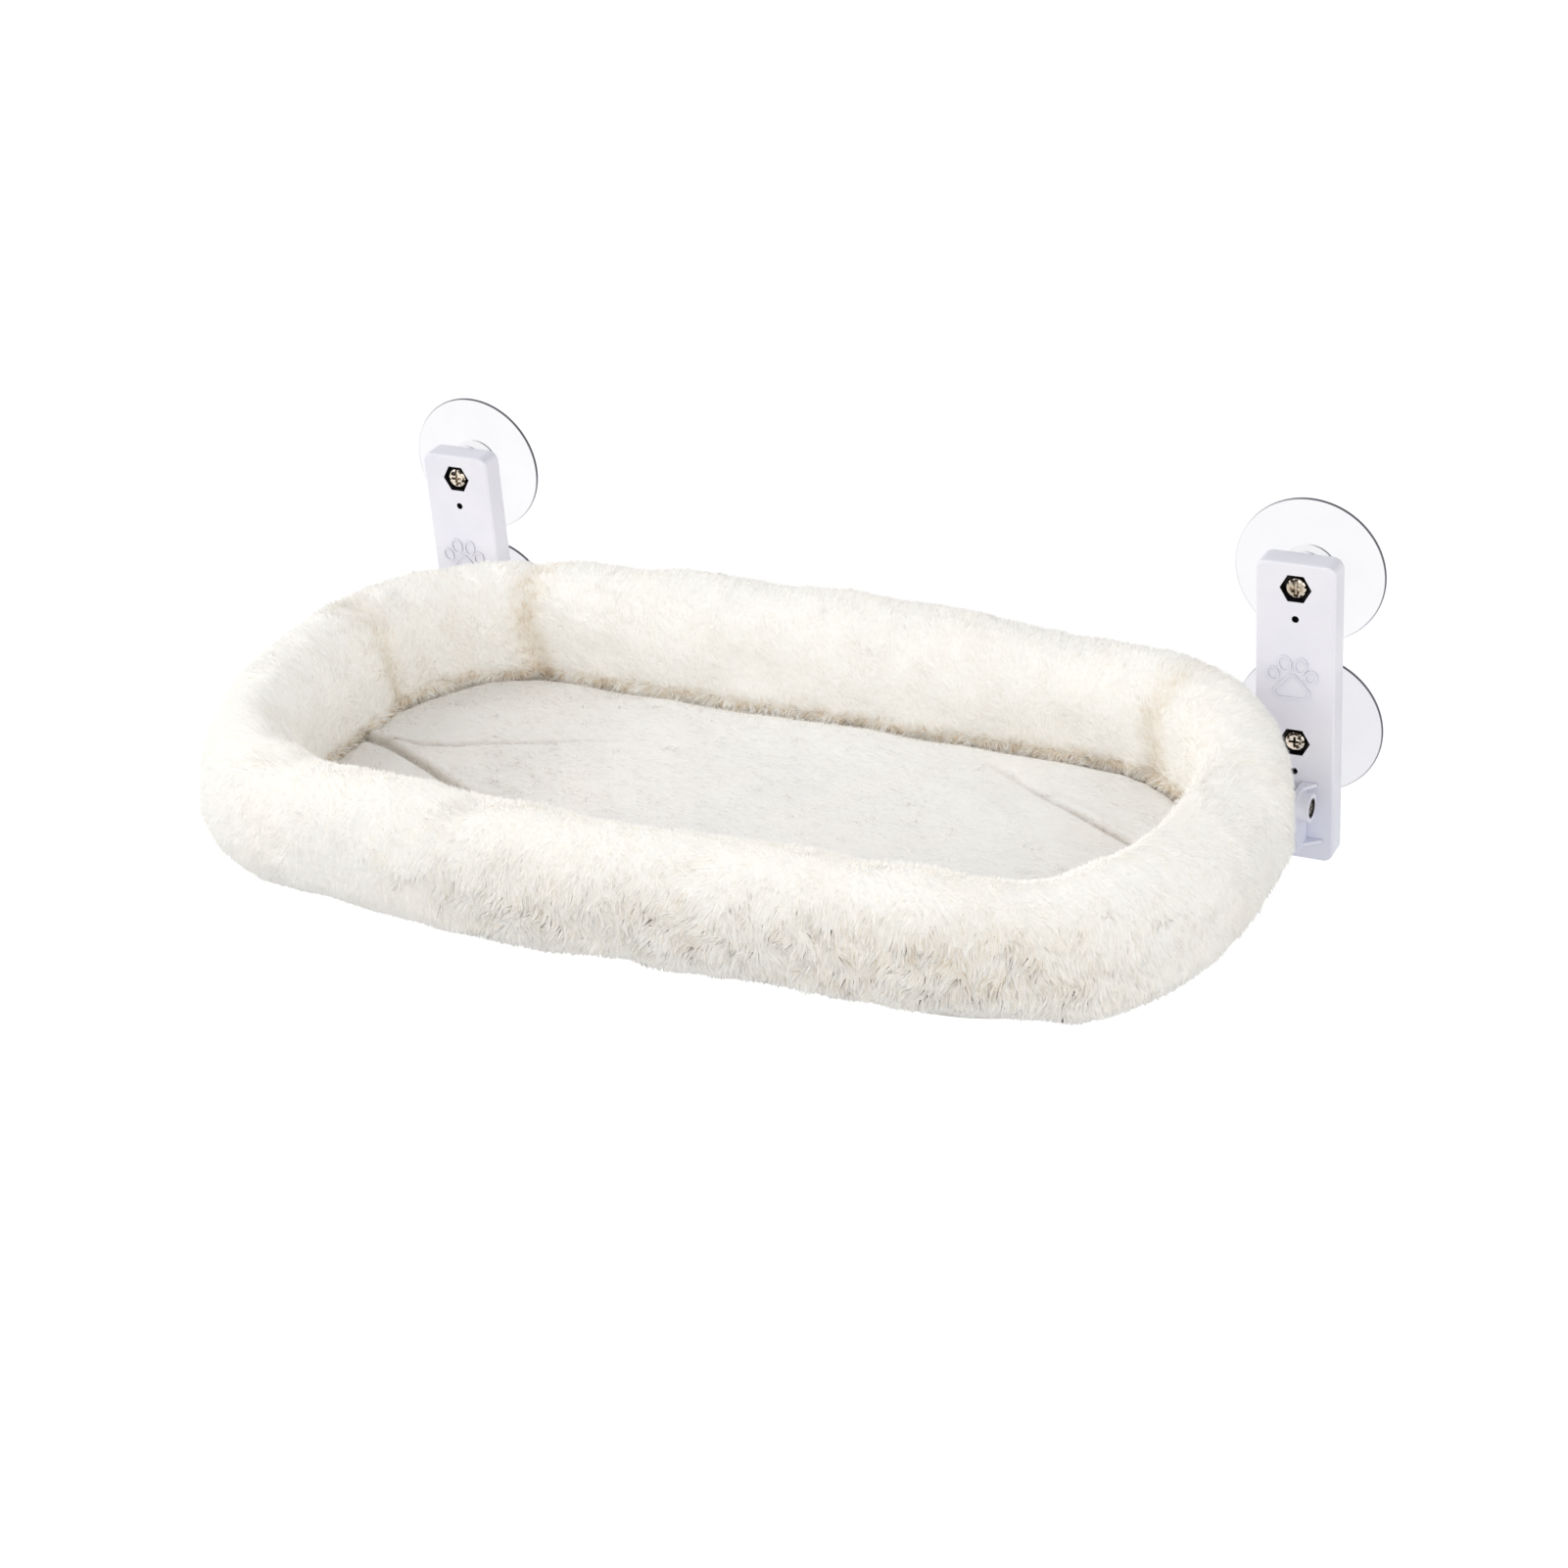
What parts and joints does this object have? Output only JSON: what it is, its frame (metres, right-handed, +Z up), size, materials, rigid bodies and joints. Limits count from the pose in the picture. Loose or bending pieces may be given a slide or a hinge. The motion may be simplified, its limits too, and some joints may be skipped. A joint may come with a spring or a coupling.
{
  "type": "window mounted cat perch",
  "caption": "Cat bed with a plush stuffed rim and floor pad on a tube frame, held to a window by suction cups on slim brackets, folding up on hinges.",
  "frame": {"origin": "on the window glass, midway between the four suction cups", "axes": "+X along the window to the right as seen from the room, +Y out through the glass, +Z up"},
  "size_m": [0.601, 0.3394, 0.2028],
  "materials": {
    "bracket_plastic": "satin",
    "arm_plastic": "satin",
    "clear_cup": "clear soft PVC",
    "plated_steel": "nickel plated",
    "white_tube": "powder coated",
    "plush": "long soft pile",
    "pad_fleece": "short pile",
    "sling_cloth": "plain weave"
  },
  "bodies": {
    "brackets": {"left_bracket": "bracket_plastic", "left_upper_cup": "clear_cup", "left_upper_cup_nut": "plated_steel", "left_upper_cup_washer": "plated_steel", "left_upper_cup_screw": "plated_steel", "left_lower_cup": "clear_cup", "left_lower_cup_nut": "plated_steel", "left_lower_cup_washer": "plated_steel", "left_lower_cup_screw": "plated_steel", "left_hinge_bolt": "plated_steel", "left_hinge_nut": "plated_steel", "right_bracket": "bracket_plastic", "right_upper_cup": "clear_cup", "right_upper_cup_nut": "plated_steel", "right_upper_cup_washer": "plated_steel", "right_upper_cup_screw": "plated_steel", "right_lower_cup": "clear_cup", "right_lower_cup_nut": "plated_steel", "right_lower_cup_washer": "plated_steel", "right_lower_cup_screw": "plated_steel", "right_hinge_bolt": "plated_steel", "right_hinge_nut": "plated_steel"},
    "bed": {"left_arm": "arm_plastic", "left_tube_screws": "plated_steel", "right_arm": "arm_plastic", "right_tube_screws": "plated_steel", "front_tube": "white_tube", "rear_tube": "white_tube", "sling": "sling_cloth", "seat_pad": "pad_fleece", "front_bolster": "plush", "rear_bolster": "plush"}
  },
  "joints": [
    {"name": "fold", "type": "hinge", "parent": "brackets", "child": "bed", "pos_m": [0, -0.0373, -0.077], "axis": [-1, 0, 0], "range_deg": [0, 75], "deforming": ["rear_bolster"]}
  ]
}
